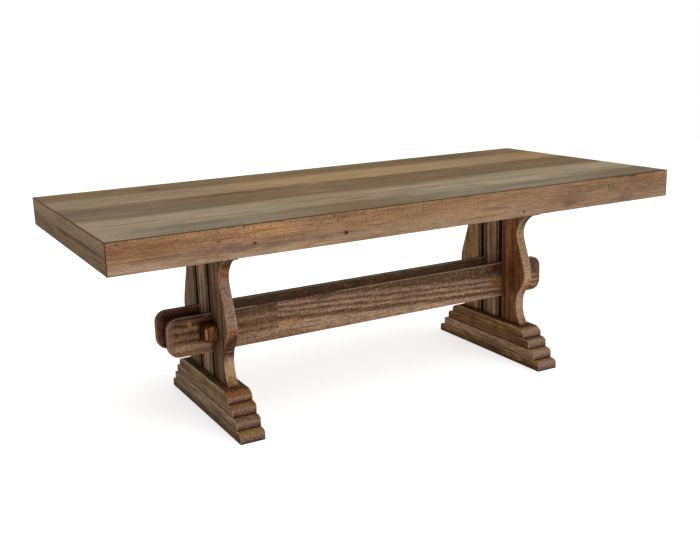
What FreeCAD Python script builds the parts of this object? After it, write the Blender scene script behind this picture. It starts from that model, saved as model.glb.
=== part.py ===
import FreeCAD
import Part
import math
import os

# Trestle dining table. Millimetres, +Z up, origin on the floor under the middle of the top.
# X runs along the length of the table and Y across it. Both trestles are alike, and each is
# the same in front as behind, so its front half is modelled and mirrored.

Vec = FreeCAD.Vector

# ---------------------------------------------------------------- overall sizes
table_length = 2160.0
table_width = 970.0
table_height = 762.0
trestle_spacing = 1250.0         # middle of one trestle to the middle of the other
base_shift = 12.0                # the base stands this far right of the middle of the top

# ---------------------------------------------------------------- top
board_thickness = 25.0           # planks and aprons, which meet in a mitre
apron_depth = 100.0
edge_plank_width = 155.0
inner_plank_count = 3
top_arris = 1.5                  # easing of the outer edges of the top

batten_width = 70.0
batten_thickness = 28.0
batten_end_gap = 4.0             # room for the planks to move across the grain
end_batten_inset = 165.0         # end of the table to the middle of the end batten
batten_easing = 3.0

corner_block_leg = 70.0
corner_block_height = 60.0
glue_block_side = 20.0
glue_block_length = 80.0
glue_blocks_per_side = 6
glue_blocks_per_end = 3

# ---------------------------------------------------------------- foot
foot_width = 90.0
foot_layer_count = 4
foot_layer_height = 36.5
foot_cap_reach = 243.0           # middle of the foot to the nose of its top layer
foot_step = 31.0                 # each layer reaches this much past the one on it
foot_corner_radius = 5.0
foot_edge_easing = 3.0
nose_reach = 26.0                # rounding of a nose, along Y and up
nose_rise = 17.0
cap_nose_reach = 42.0
cap_nose_rise = 27.0
nose_fullness = 0.42             # how far the handles of a nose's curve lean to its corner
nose_lower_easing = 4.0

# ---------------------------------------------------------------- posts
post_thickness = 38.0
centre_post_width = 97.4
waist_reach = 161.0              # middle of the trestle to the narrowest part of a post
bulge_reach = 211.0
low_waist_rise = 80.0            # above the foot
bulge_rise = 206.0               # above the foot
high_waist_drop = 88.0           # below the bolster
tip_edge = 3.0                   # upright edge of the thin tips
low_tip_sweep = 18.0             # handles of the outer curve, tip by tip from below
low_waist_sweep = 39.0
low_swell_sweep = 66.0
bulge_under_sweep = 50.0
bulge_over_sweep = 46.0
high_swell_sweep = 30.0
high_waist_sweep = 42.0
high_tip_sweep = 42.0
post_easing = 2.5
bead_width = 2.4
bead_depth = 1.6
bead_spacing = 8.5               # slot to the first bead, and bead to bead
beads_per_edge = 2

tenon_length = 28.0
tenon_shoulder = 9.0             # step from the post's face to the tenon's
outer_tenon_width = 58.0
outer_tenon_inset = 14.0         # slot edge of an outer post to its tenon
centre_tenon_inset = 16.0
tenon_fit = 0.2
tenon_end_gap = 1.0

# ---------------------------------------------------------------- bolster under the top
bolster_width = 90.0
bolster_height = 132.0
bolster_flat_reach = 252.0       # middle of the bolster to the end of its lower face
bolster_reach = 430.0
bolster_lip = 15.0               # upright edge between the lower face and the cove
bolster_end_height = 47.0
bolster_cove_run = 112.0
bolster_cove_fullness = 0.55     # how far the handles of the cove's curve lean to its corner
bolster_easing = 3.0

# ---------------------------------------------------------------- stretcher boards and pegs
stretcher_thickness = 21.0
stretcher_height = 140.0
stretcher_rise = 99.0            # foot to the lower edge of the boards
stretcher_overhang = 181.0       # middle of a trestle to the end of the boards
stretcher_corner_radius = 42.0
stretcher_easing = 5.0
stretcher_fit = 0.3              # each side of a board in its slot

peg_width = 43.0
peg_height = 62.0
peg_proud = 54.0                 # peg in front of and behind the boards
peg_lift = 11.5                  # middle of the peg above the middle of the boards
peg_corner_radius = 11.0
peg_end_bevel = 6.0
peg_fit = 0.3
peg_post_gap = 1.5

dowel_radius = 8.0
dowel_spacing = 70.0             # lower dowel to upper dowel
dowel_seat = 30.0                # how far a dowel goes into an outer post
dowel_fit = 0.15
dowel_end_gap = 1.0

# ---------------------------------------------------------------- metal fastenings
foot_bolt_radius = 4.0
foot_bolt_head_radius = 8.0
foot_bolt_head_height = 6.0
foot_bolt_recess = 10.0          # sole to the seat of the head
foot_bolt_grip = 62.0            # length of the bolt in the post
bolt_fit = 0.2
head_fit = 1.0

bolster_bolt_radius = 4.0
bolster_bolt_head_flats = 13.0
bolster_bolt_head_height = 5.3
bolster_bolt_end_inset = 30.0    # end of the bolster to its bolts
bolster_bolt_spacing = 46.0
washer_radius = 9.0
washer_thickness = 1.6
insert_radius = 6.0
insert_length = 15.0
insert_fit = 0.1
insert_end_gap = 1.0

screw_radius = 2.2
screw_head_radius = 4.5
screw_head_height = 2.8
screw_crown_radius = 3.1         # flat middle of the head
screw_rim_height = 1.1           # upright rim of the head
screw_bite = 15.0                # length of a screw in its plank
screw_tip = 4.0
screw_fit = 0.1
screw_end_gap = 1.0

# ---------------------------------------------------------------- what follows from them
half_length = table_length / 2
half_width = table_width / 2
plank_underside = table_height - board_thickness
apron_bottom = table_height - apron_depth
inner_plank_width = (table_width - 2 * edge_plank_width) / inner_plank_count
plank_edges = [-half_width, -half_width + edge_plank_width]
for plank_number in range(inner_plank_count):
    plank_edges.append(plank_edges[-1] + inner_plank_width)
plank_edges.append(half_width)
plank_middles = [(low + high) / 2 for low, high in zip(plank_edges, plank_edges[1:])]

foot_height = foot_layer_count * foot_layer_height
bolster_bottom = plank_underside - bolster_height
post_low = foot_height
post_high = bolster_bottom
low_waist_height = post_low + low_waist_rise
bulge_height = post_low + bulge_rise
high_waist_height = post_high - high_waist_drop

slot_inner = centre_post_width / 2
slot_outer = slot_inner + stretcher_thickness + 2 * stretcher_fit
board_inner = slot_inner + stretcher_fit
board_outer = board_inner + stretcher_thickness
stretcher_bottom = foot_height + stretcher_rise
stretcher_middle = stretcher_bottom + stretcher_height / 2
stretcher_reach = trestle_spacing / 2 + stretcher_overhang

peg_offset = post_thickness / 2 + peg_post_gap + peg_width / 2
peg_middle = stretcher_middle + peg_lift
peg_reach = board_outer + peg_proud
outer_tenon_middle = slot_outer + outer_tenon_inset + outer_tenon_width / 2
bolster_bolt_reach = bolster_reach - bolster_bolt_end_inset
bolster_bolt_seat = plank_underside - bolster_end_height

trestle_places = {"left": base_shift - trestle_spacing / 2, "right": base_shift + trestle_spacing / 2}
peg_places = {"left": trestle_places["left"] - peg_offset, "right": trestle_places["right"] + peg_offset}


# ---------------------------------------------------------------- helpers
def box(x_span, y_span, z_span):
    corner = Vec(x_span[0], y_span[0], z_span[0])
    return Part.makeBox(x_span[1] - x_span[0], y_span[1] - y_span[0], z_span[1] - z_span[0], corner)


def line(start, end):
    return Part.LineSegment(start, end).toShape()


def curve(*poles):
    bezier = Part.BezierCurve()
    bezier.setPoles(list(poles))
    return bezier.toShape()


def closed(points):
    return Part.makePolygon(list(points) + [points[0]])


def extrude(edges, direction):
    return Part.Face(Part.Wire(edges)).extrude(direction)


def rod(radius, start, direction, length):
    return Part.makeCylinder(radius, length, start, direction)


def mirrored_across(shape):
    """The same shape on the other side of the table, Y turned to -Y."""
    return shape.mirror(Vec(0, 0, 0), Vec(0, 1, 0))


def moved_to(x, shape):
    """A copy of a shape that was made about X = 0, at its own place along the table."""
    copy = shape.copy()
    copy.translate(Vec(x, 0, 0))
    return copy


def rounded_bar(x_half, y_half, z_span, radius):
    """An upright block with its four vertical corners rounded."""
    bar = box((-x_half, x_half), (-y_half, y_half), z_span)
    corners = [edge for edge in bar.Edges if abs(edge.tangentAt(edge.FirstParameter).z) > 0.99]
    return bar.makeFillet(radius, corners)


def edges_along_y(shape):
    return [edge for edge in shape.Edges if abs(edge.tangentAt(edge.FirstParameter).y) > 0.99]


def eased_beam(x_half, y_half, z_span, radius, eased_heights):
    """A beam along Y whose long edges at the given heights are rounded."""
    beam = box((-x_half, x_half), (-y_half, y_half), z_span)
    eased = []
    for height in eased_heights:
        eased += [edge for edge in edges_along_y(beam) if abs(edge.CenterOfMass.z - height) < 0.01]
    return beam.makeFillet(radius, eased)


def save(name, solids):
    shape = solids[0] if len(solids) == 1 else Part.makeCompound(solids)
    shape.exportStep("parts/" + name + ".step")
    print(name, len(solids), "solid(s)", round(shape.Volume / 1000.0, 1), "cm3")


# ---------------------------------------------------------------- top planks and aprons
def with_eased_arrises(piece):
    """The piece cut back to the outer form of the whole top, whose outer edges are rounded."""
    slab = box((-half_length, half_length), (-half_width, half_width), (apron_bottom, table_height))
    lower_edges = [edge for edge in slab.Edges if abs(edge.CenterOfMass.z - apron_bottom) < 0.01]
    upper_edges = [edge for edge in slab.Edges if abs(edge.CenterOfMass.z - apron_bottom) > 0.01]
    for edges in (lower_edges, upper_edges):
        piece = piece.common(slab.makeFillet(top_arris, edges))
    return piece


def mitred_piece(outer_points, inner_points):
    """A board whose outer face is the larger, with 45 degree edges down to its inner face."""
    return Part.makeLoft([closed(outer_points), closed(inner_points)], True, True)


def plank(y_low, y_high):
    in_low = y_low + board_thickness if y_low == -half_width else y_low
    in_high = y_high - board_thickness if y_high == half_width else y_high
    in_x = half_length - board_thickness
    upper = [Vec(-half_length, y_low, table_height), Vec(half_length, y_low, table_height),
             Vec(half_length, y_high, table_height), Vec(-half_length, y_high, table_height)]
    lower = [Vec(-in_x, in_low, plank_underside), Vec(in_x, in_low, plank_underside),
             Vec(in_x, in_high, plank_underside), Vec(-in_x, in_high, plank_underside)]
    return mitred_piece(upper, lower)


def long_apron():
    in_x = half_length - board_thickness
    in_y = half_width - board_thickness
    outer = [Vec(-half_length, -half_width, apron_bottom), Vec(half_length, -half_width, apron_bottom),
             Vec(half_length, -half_width, table_height), Vec(-half_length, -half_width, table_height)]
    inner = [Vec(-in_x, -in_y, apron_bottom), Vec(in_x, -in_y, apron_bottom),
             Vec(in_x, -in_y, plank_underside), Vec(-in_x, -in_y, plank_underside)]
    return mitred_piece(outer, inner)


def end_apron():
    in_x = half_length - board_thickness
    in_y = half_width - board_thickness
    outer = [Vec(-half_length, -half_width, apron_bottom), Vec(-half_length, half_width, apron_bottom),
             Vec(-half_length, half_width, table_height), Vec(-half_length, -half_width, table_height)]
    inner = [Vec(-in_x, -in_y, apron_bottom), Vec(-in_x, in_y, apron_bottom),
             Vec(-in_x, in_y, plank_underside), Vec(-in_x, -in_y, plank_underside)]
    return mitred_piece(outer, inner)


# ---------------------------------------------------------------- under the top
batten_places = [-half_length + end_batten_inset, 0.0, half_length - end_batten_inset]
batten_half_length = half_width - board_thickness - batten_end_gap
batten_bottom = plank_underside - batten_thickness


def batten_screw(x, y):
    """A pan-head screw, head down, revolved about its own axis."""
    head_low = batten_bottom - screw_head_height
    tip = plank_underside + screw_bite
    outline = [Vec(0, 0, head_low), Vec(screw_crown_radius, 0, head_low),
               Vec(screw_head_radius, 0, batten_bottom - screw_rim_height),
               Vec(screw_head_radius, 0, batten_bottom), Vec(screw_radius, 0, batten_bottom),
               Vec(screw_radius, 0, tip - screw_tip), Vec(0, 0, tip)]
    screw = Part.Face(closed(outline)).revolve(Vec(0, 0, 0), Vec(0, 0, 1), 360)
    screw.translate(Vec(x, y, 0))
    return screw


def screw_hole(x, y):
    depth = batten_thickness + screw_bite + screw_end_gap
    return rod(screw_radius + screw_fit, Vec(x, y, batten_bottom), Vec(0, 0, 1), depth)


def batten(x):
    """A bar across the planks, its two lower edges rounded."""
    bar = eased_beam(batten_width / 2, batten_half_length, (batten_bottom, plank_underside),
                     batten_easing, [batten_bottom])
    bar = moved_to(x, bar)
    for y in plank_middles:
        bar = bar.cut(screw_hole(x, y))
    return bar


def corner_block(side_x, side_y):
    """A three-sided block glued into a corner between two aprons and the planks."""
    x = side_x * (half_length - board_thickness)
    y = side_y * (half_width - board_thickness)
    low = plank_underside - corner_block_height
    outline = [Vec(x, y, low), Vec(x - side_x * corner_block_leg, y, low),
               Vec(x, y - side_y * corner_block_leg, low)]
    return Part.Face(closed(outline)).extrude(Vec(0, 0, corner_block_height))


def glue_blocks():
    """Square blocks glued along the inner corner of planks and aprons, clear of the battens."""
    low = plank_underside - glue_block_side
    in_x = half_length - board_thickness
    in_y = half_width - board_thickness
    blocks = []
    side_run = 2 * (half_length - end_batten_inset) - batten_width
    for number in range(glue_blocks_per_side):
        x = -side_run / 2 + side_run * (number + 0.5) / glue_blocks_per_side
        x_span = (x - glue_block_length / 2, x + glue_block_length / 2)
        for y_span in ((-in_y, -in_y + glue_block_side), (in_y - glue_block_side, in_y)):
            blocks.append(box(x_span, y_span, (low, plank_underside)))
    end_run = 2 * (in_y - corner_block_leg)
    for number in range(glue_blocks_per_end):
        y = -end_run / 2 + end_run * (number + 0.5) / glue_blocks_per_end
        y_span = (y - glue_block_length / 2, y + glue_block_length / 2)
        for x_span in ((-in_x, -in_x + glue_block_side), (in_x - glue_block_side, in_x)):
            blocks.append(box(x_span, y_span, (low, plank_underside)))
    return blocks


# ---------------------------------------------------------------- foot
def nose_outline(reach, low, high, run, rise):
    """Half the side view of a foot layer, from the middle of its sole round the nose to its top."""
    corner = Vec(0, reach, high)
    shoulder = Vec(0, reach, high - rise)
    top_start = Vec(0, reach - run, high)
    ease_low = Vec(0, reach - nose_lower_easing, low)
    ease_high = Vec(0, reach, low + nose_lower_easing)
    ease_middle = Vec(0, reach - nose_lower_easing * (1 - math.sqrt(0.5)),
                      low + nose_lower_easing * (1 - math.sqrt(0.5)))
    return [line(Vec(0, 0, low), ease_low),
            Part.Arc(ease_low, ease_middle, ease_high).toShape(),
            line(ease_high, shoulder),
            curve(shoulder, shoulder + (corner - shoulder) * nose_fullness,
                  top_start + (corner - top_start) * nose_fullness, top_start),
            line(top_start, Vec(0, 0, high)),
            line(Vec(0, 0, high), Vec(0, 0, low))]


def foot_layer(number):
    """One layer of a foot about X = 0: number 0 is the sole and the last one the cap."""
    is_cap = number == foot_layer_count - 1
    low = number * foot_layer_height
    high = low + foot_layer_height
    reach = foot_cap_reach + foot_step * (foot_layer_count - 1 - number)
    run = cap_nose_reach if is_cap else nose_reach
    rise = cap_nose_rise if is_cap else nose_rise
    half = extrude(nose_outline(reach, low, high, run, rise), Vec(foot_width, 0, 0))
    half.translate(Vec(-foot_width / 2, 0, 0))
    layer = half.fuse(mirrored_across(half)).removeSplitter()
    layer = layer.common(rounded_bar(foot_width / 2, reach, (low, high), foot_corner_radius))
    layer = layer.common(eased_beam(foot_width / 2, reach, (low, high), foot_edge_easing, [low, high]))
    return cut_for_foot_bolts(layer)


foot_bolt_places = [-outer_tenon_middle, 0.0, outer_tenon_middle]


def foot_bolt(x, y):
    head = rod(foot_bolt_head_radius, Vec(x, y, foot_bolt_recess - foot_bolt_head_height),
               Vec(0, 0, 1), foot_bolt_head_height)
    shank_length = foot_height - foot_bolt_recess + foot_bolt_grip
    shank = rod(foot_bolt_radius, Vec(x, y, foot_bolt_recess), Vec(0, 0, 1), shank_length)
    return head.fuse(shank)


def cut_for_foot_bolts(layer):
    for y in foot_bolt_places:
        shank_hole = rod(foot_bolt_radius + bolt_fit, Vec(0, y, 0), Vec(0, 0, 1), foot_height)
        head_hole = rod(foot_bolt_head_radius + head_fit, Vec(0, y, 0), Vec(0, 0, 1), foot_bolt_recess)
        layer = layer.cut(shank_hole).cut(head_hole)
    return layer


def bolt_hole_in_post(y):
    return rod(foot_bolt_radius + bolt_fit, Vec(0, y, foot_height - tenon_length), Vec(0, 0, 1),
               tenon_length + foot_bolt_grip + tenon_end_gap)


# ---------------------------------------------------------------- posts
def tenon_pair(y_span, growth, end_growth):
    """The tenons at the foot and head of a post, or the same grown to make their mortises."""
    x_half = post_thickness / 2 - tenon_shoulder + growth
    y_span = (y_span[0] - growth, y_span[1] + growth)
    length = tenon_length + end_growth
    lower = box((-x_half, x_half), y_span, (post_low - length, post_low))
    upper = box((-x_half, x_half), y_span, (post_high, post_high + length))
    return lower, upper


outer_tenon_span = (-outer_tenon_middle - outer_tenon_width / 2, -outer_tenon_middle + outer_tenon_width / 2)
centre_tenon_span = (-slot_inner + centre_tenon_inset, slot_inner - centre_tenon_inset)


def bead(y, face_side):
    """A narrow groove down one face of a post, its middle on y."""
    x = face_side * post_thickness / 2
    return box((x - bead_depth, x + bead_depth), (y - bead_width / 2, y + bead_width / 2),
               (post_low, post_high))


def with_beads(post, slot_edges):
    """Grooves beside each slot: slot_edges pairs a slot's edge with the way to the wood."""
    for edge_y, way in slot_edges:
        for number in range(1, beads_per_edge + 1):
            for face_side in (-1, 1):
                post = post.cut(bead(edge_y + way * number * bead_spacing, face_side))
    return post


def outer_post():
    """The front post about X = 0: straight beside the slot, curved twice on its outer edge."""
    foot_tip = foot_cap_reach - cap_nose_reach
    tip_low = Vec(0, -foot_tip, post_low + tip_edge)
    low_waist = Vec(0, -waist_reach, low_waist_height)
    bulge = Vec(0, -bulge_reach, bulge_height)
    high_waist = Vec(0, -waist_reach, high_waist_height)
    tip_high = Vec(0, -bolster_flat_reach, post_high - tip_edge)
    outer_side = [
        curve(tip_low, tip_low + Vec(0, low_tip_sweep, 0),
              low_waist - Vec(0, 0, low_waist_sweep), low_waist),
        curve(low_waist, low_waist + Vec(0, 0, low_swell_sweep),
              bulge - Vec(0, 0, bulge_under_sweep), bulge),
        curve(bulge, bulge + Vec(0, 0, bulge_over_sweep),
              high_waist - Vec(0, 0, high_swell_sweep), high_waist),
        curve(high_waist, high_waist + Vec(0, 0, high_waist_sweep),
              tip_high + Vec(0, high_tip_sweep, 0), tip_high)]
    foot_side = [line(Vec(0, -slot_outer, post_low), Vec(0, -foot_tip, post_low)),
                 line(Vec(0, -foot_tip, post_low), tip_low)]
    head_side = [line(tip_high, Vec(0, -bolster_flat_reach, post_high)),
                 line(Vec(0, -bolster_flat_reach, post_high), Vec(0, -slot_outer, post_high))]
    slot_side = [line(Vec(0, -slot_outer, post_high), Vec(0, -slot_outer, post_low))]
    blade = extrude(foot_side + outer_side + head_side + slot_side, Vec(post_thickness, 0, 0))
    blade.translate(Vec(-post_thickness / 2, 0, 0))
    blade = blade.makeFillet(post_easing, [edge for edge in blade.Edges if is_outer_arris(edge)])
    blade = with_beads(blade, [(-slot_outer, -1)])
    lower_tenon, upper_tenon = tenon_pair(outer_tenon_span, 0.0, 0.0)
    post = blade.fuse(lower_tenon).fuse(upper_tenon)
    post = post.cut(bolt_hole_in_post(-outer_tenon_middle))
    for hole in dowel_holes():
        post = post.cut(hole)
    return post


def is_outer_arris(edge):
    """True for the edges where a post's curved side meets its two faces."""
    middle = edge.valueAt((edge.FirstParameter + edge.LastParameter) / 2)
    on_face = abs(abs(middle.x) - post_thickness / 2) < 0.01
    in_face = abs(edge.tangentAt(edge.FirstParameter).x) < 0.01
    return on_face and in_face and middle.y < -waist_reach and edge.Curve.TypeId != "Part::GeomLine"


def centre_post():
    post = box((-post_thickness / 2, post_thickness / 2), (-slot_inner, slot_inner), (post_low, post_high))
    post = with_beads(post, [(-slot_inner, 1), (slot_inner, -1)])
    lower_tenon, upper_tenon = tenon_pair(centre_tenon_span, 0.0, 0.0)
    post = post.fuse(lower_tenon).fuse(upper_tenon)
    post = post.cut(bolt_hole_in_post(0.0))
    for hole in dowel_holes():
        post = post.cut(hole)
    return post


def mortises():
    """What the tenons of one trestle take out of its foot and its bolster."""
    front = tenon_pair(outer_tenon_span, tenon_fit, tenon_end_gap)
    rear = [mirrored_across(tenon) for tenon in front]
    middle = tenon_pair(centre_tenon_span, tenon_fit, tenon_end_gap)
    lower = [front[0], middle[0], rear[0]]
    upper = [front[1], middle[1], rear[1]]
    return lower, upper


# ---------------------------------------------------------------- dowels, stretcher boards and pegs
dowel_heights = [stretcher_middle - dowel_spacing / 2, stretcher_middle + dowel_spacing / 2]
dowel_reach = slot_outer + dowel_seat


def dowels():
    return [rod(dowel_radius, Vec(0, -dowel_reach, z), Vec(0, 1, 0), 2 * dowel_reach)
            for z in dowel_heights]


def dowel_holes():
    reach = dowel_reach + dowel_end_gap
    return [rod(dowel_radius + dowel_fit, Vec(0, -reach, z), Vec(0, 1, 0), 2 * reach)
            for z in dowel_heights]


def peg_block(growth, reach):
    """A peg about X = 0, or the hole for it: a bar along Y with rounded corners."""
    x_half = peg_width / 2 + growth
    z_half = peg_height / 2 + growth
    bar = box((-x_half, x_half), (-reach, reach), (peg_middle - z_half, peg_middle + z_half))
    return bar.makeFillet(peg_corner_radius + growth, edges_along_y(bar))


def peg():
    bar = peg_block(0.0, peg_reach)
    ends = [edge for edge in bar.Edges if abs(abs(edge.CenterOfMass.y) - peg_reach) < 0.01]
    return bar.makeChamfer(peg_end_bevel, ends)


def stretcher_board():
    """The front board: a long board with broad rounded ends, pierced for dowels and pegs."""
    board = box((base_shift - stretcher_reach, base_shift + stretcher_reach), (-board_outer, -board_inner),
                (stretcher_bottom, stretcher_bottom + stretcher_height))
    board = board.makeFillet(stretcher_corner_radius, edges_along_y(board))
    rim = [edge for edge in board.Edges if abs(edge.CenterOfMass.y + board_outer) < 0.01
           or abs(edge.CenterOfMass.y + board_inner) < 0.01]
    board = board.makeFillet(stretcher_easing, rim)
    for x in trestle_places.values():
        for hole in dowel_holes():
            board = board.cut(moved_to(x, hole))
    for x in peg_places.values():
        board = board.cut(moved_to(x, peg_block(peg_fit, peg_reach)))
    return board


# ---------------------------------------------------------------- bolster
def bolster():
    """The beam that joins the heads of the posts and carries the top, hollowed towards its ends."""
    lip_top = Vec(0, bolster_flat_reach, bolster_bottom + bolster_lip)
    seat_start = Vec(0, bolster_flat_reach + bolster_cove_run, bolster_bolt_seat)
    corner = Vec(0, bolster_flat_reach, bolster_bolt_seat)
    edges = [line(Vec(0, 0, bolster_bottom), Vec(0, bolster_flat_reach, bolster_bottom)),
             line(Vec(0, bolster_flat_reach, bolster_bottom), lip_top),
             curve(lip_top, lip_top + (corner - lip_top) * bolster_cove_fullness,
                   seat_start + (corner - seat_start) * bolster_cove_fullness, seat_start),
             line(seat_start, Vec(0, bolster_reach, bolster_bolt_seat)),
             line(Vec(0, bolster_reach, bolster_bolt_seat), Vec(0, bolster_reach, plank_underside)),
             line(Vec(0, bolster_reach, plank_underside), Vec(0, 0, plank_underside)),
             line(Vec(0, 0, plank_underside), Vec(0, 0, bolster_bottom))]
    half = extrude(edges, Vec(bolster_width, 0, 0))
    half.translate(Vec(-bolster_width / 2, 0, 0))
    beam = half.fuse(mirrored_across(half)).removeSplitter()
    beam = beam.common(rounded_bar(bolster_width / 2, bolster_reach, (bolster_bottom, plank_underside),
                                   bolster_easing))
    for x, y in bolster_bolt_places():
        beam = beam.cut(rod(bolster_bolt_radius + bolt_fit, Vec(x, y, bolster_bottom), Vec(0, 0, 1),
                            bolster_height))
    return beam


def bolster_bolt_places():
    places = []
    for x in (-bolster_bolt_spacing / 2, bolster_bolt_spacing / 2):
        for y in (-bolster_bolt_reach, bolster_bolt_reach):
            places.append((x, y))
    return places


def bolster_bolt(x, y):
    head_top = bolster_bolt_seat - washer_thickness
    corner_radius = bolster_bolt_head_flats / math.sqrt(3)
    points = [Vec(x + corner_radius * math.cos(math.radians(60 * number)),
                  y + corner_radius * math.sin(math.radians(60 * number)),
                  head_top - bolster_bolt_head_height) for number in range(6)]
    head = Part.Face(closed(points)).extrude(Vec(0, 0, bolster_bolt_head_height))
    length = plank_underside + insert_length - head_top
    return head.fuse(rod(bolster_bolt_radius, Vec(x, y, head_top), Vec(0, 0, 1), length))


def washer(x, y):
    low = Vec(x, y, bolster_bolt_seat - washer_thickness)
    ring = rod(washer_radius, low, Vec(0, 0, 1), washer_thickness)
    return ring.cut(rod(bolster_bolt_radius + bolt_fit, low, Vec(0, 0, 1), washer_thickness))


def insert(x, y):
    low = Vec(x, y, plank_underside)
    sleeve = rod(insert_radius, low, Vec(0, 0, 1), insert_length)
    return sleeve.cut(rod(bolster_bolt_radius + bolt_fit, low, Vec(0, 0, 1), insert_length))


def insert_hole(x, y):
    return rod(insert_radius + insert_fit, Vec(x, y, plank_underside), Vec(0, 0, 1),
               insert_length + insert_end_gap)


# ---------------------------------------------------------------- the whole table
def build():
    os.makedirs("parts", exist_ok=True)
    bolt_places = []
    for trestle_x in trestle_places.values():
        bolt_places += [(trestle_x + x, y) for x, y in bolster_bolt_places()]
    plank_holes = [screw_hole(x, y) for x in batten_places for y in plank_middles]
    plank_holes += [insert_hole(x, y) for x, y in bolt_places]
    for number, (y_low, y_high) in enumerate(zip(plank_edges, plank_edges[1:]), start=1):
        board = with_eased_arrises(plank(y_low, y_high))
        own_holes = [hole for hole in plank_holes if y_low < hole.CenterOfMass.y < y_high]
        for hole in own_holes:
            board = board.cut(hole)
        save("top_plank_" + str(number), [board])

    front_apron = with_eased_arrises(long_apron())
    left_apron = with_eased_arrises(end_apron())
    save("apron_front", [front_apron])
    save("apron_rear", [mirrored_across(front_apron)])
    save("apron_left", [left_apron])
    save("apron_right", [left_apron.mirror(Vec(0, 0, 0), Vec(1, 0, 0))])

    for name, x in zip(("batten_left", "batten_middle", "batten_right"), batten_places):
        save(name, [batten(x)])
    save("batten_screws", [batten_screw(x, y) for x in batten_places for y in plank_middles])
    save("corner_blocks", [corner_block(x, y) for x in (-1, 1) for y in (-1, 1)])
    save("apron_glue_blocks", glue_blocks())

    foot_layers = [foot_layer(number) for number in range(foot_layer_count)]
    foot_mortises, bolster_mortises = mortises()
    for mortise in foot_mortises:
        foot_layers[-1] = foot_layers[-1].cut(mortise)
    beam = bolster()
    for mortise in bolster_mortises:
        beam = beam.cut(mortise)
    front = outer_post()
    rear = mirrored_across(front)
    middle = centre_post()

    for side, trestle_x in trestle_places.items():
        for number, layer in enumerate(foot_layers, start=1):
            save("foot_layer_" + str(number) + "_" + side, [moved_to(trestle_x, layer)])
        save("front_post_" + side, [moved_to(trestle_x, front)])
        save("centre_post_" + side, [moved_to(trestle_x, middle)])
        save("rear_post_" + side, [moved_to(trestle_x, rear)])
        save("bolster_" + side, [moved_to(trestle_x, beam)])
        save("stretcher_dowels_" + side, [moved_to(trestle_x, dowel) for dowel in dowels()])
    for side, peg_x in peg_places.items():
        save("peg_" + side, [moved_to(peg_x, peg())])

    front_board = stretcher_board()
    save("stretcher_front", [front_board])
    save("stretcher_rear", [mirrored_across(front_board)])

    save("bolster_bolts", [bolster_bolt(x, y) for x, y in bolt_places])
    save("bolster_washers", [washer(x, y) for x, y in bolt_places])
    save("threaded_inserts", [insert(x, y) for x, y in bolt_places])
    save("foot_bolts", [foot_bolt(x, y) for x in trestle_places.values() for y in foot_bolt_places])


build()
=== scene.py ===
# %% [markdown]
# # A trestle dining table in old stained wood
# The frame holds every piece of the table at its real size and place: five top planks, four
# aprons, two trestles of posts, feet and bolsters, two long stretcher boards and the pegs that
# lock them. This lesson leaves those shapes alone and works out how each piece is finished.
# A finish could be a photograph stretched over the wood, but then it only suits one size and
# one side. Here every finish is worked out from the place of each point in the wood, so the
# grain runs through a board from face to edge as it does in a real one.

# %% Load the frame
import math
import bpy
from mathutils import Matrix, Vector


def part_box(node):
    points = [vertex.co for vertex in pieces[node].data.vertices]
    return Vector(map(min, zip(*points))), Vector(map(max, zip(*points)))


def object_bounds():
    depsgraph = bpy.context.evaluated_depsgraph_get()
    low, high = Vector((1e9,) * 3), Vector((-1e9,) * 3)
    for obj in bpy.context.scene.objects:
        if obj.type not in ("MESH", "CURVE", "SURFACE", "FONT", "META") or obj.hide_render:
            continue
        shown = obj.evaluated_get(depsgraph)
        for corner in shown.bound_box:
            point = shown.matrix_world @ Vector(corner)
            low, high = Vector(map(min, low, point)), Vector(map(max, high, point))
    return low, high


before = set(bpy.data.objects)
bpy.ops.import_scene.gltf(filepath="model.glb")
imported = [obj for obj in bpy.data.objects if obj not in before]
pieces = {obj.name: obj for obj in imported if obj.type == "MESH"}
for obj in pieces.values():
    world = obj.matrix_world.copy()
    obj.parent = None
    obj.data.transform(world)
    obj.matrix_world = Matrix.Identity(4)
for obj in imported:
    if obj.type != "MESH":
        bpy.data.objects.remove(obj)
cad_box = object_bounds()
print(len(pieces), "pieces, box", [round(v, 3) for corner in cad_box for v in corner])

# %% [markdown] ## The sizes that the finishes need A finish that darkens an edge or follows a
# seam has to know where that edge is.

# %% Read the sizes off the pieces
X, Y, Z = 0, 1, 2


def span(piece, axis):
    """Lowest and highest place of a piece along one axis, in metres."""
    low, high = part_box(piece)
    return low[axis], high[axis]


def centre(piece, axis):
    """The place halfway between a piece's two ends along one axis."""
    return sum(span(piece, axis)) / 2


def extent(piece, axis):
    """How long a piece is along one axis."""
    low, high = span(piece, axis)
    return high - low


half_length = cad_box[1].x
half_width = cad_box[1].y
top_height = cad_box[1].z
apron_low = span("apron_front", Z)[0]
plank_seams = [span("top_plank_%d" % number, Y)[0] for number in range(2, 6)]
post_low = span("foot_layer_4_left", Z)[1]
post_high = span("bolster_left", Z)[0]
slot_inner = span("centre_post_left", Y)[1]
slot_outer = -span("front_post_left", Y)[1]
board_low, board_high = span("stretcher_front", Z)
board_start, board_end = span("stretcher_front", X)
print("slots from", round(slot_inner, 4), "to", round(slot_outer, 4), "m off the middle")

# %% [markdown]
# ## Where we stand
# A catalogue view of a long table is taken from one corner, a little above the top, so that
# the top, the long apron and both trestles show. The camera could be aimed with a Track To
# constraint, but a constraint can't hold the small roll of a camera held by hand. So its three
# directions are worked out here from a yaw, a pitch and a roll, and set as one matrix.

# %% Place the camera
camera_place = Vector((-1.7162, -3.0471, 1.2923))
camera_yaw = math.radians(28.736)
camera_pitch = math.radians(13.778)
camera_roll = math.radians(-1.809)
camera_lens = 48.8

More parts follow.
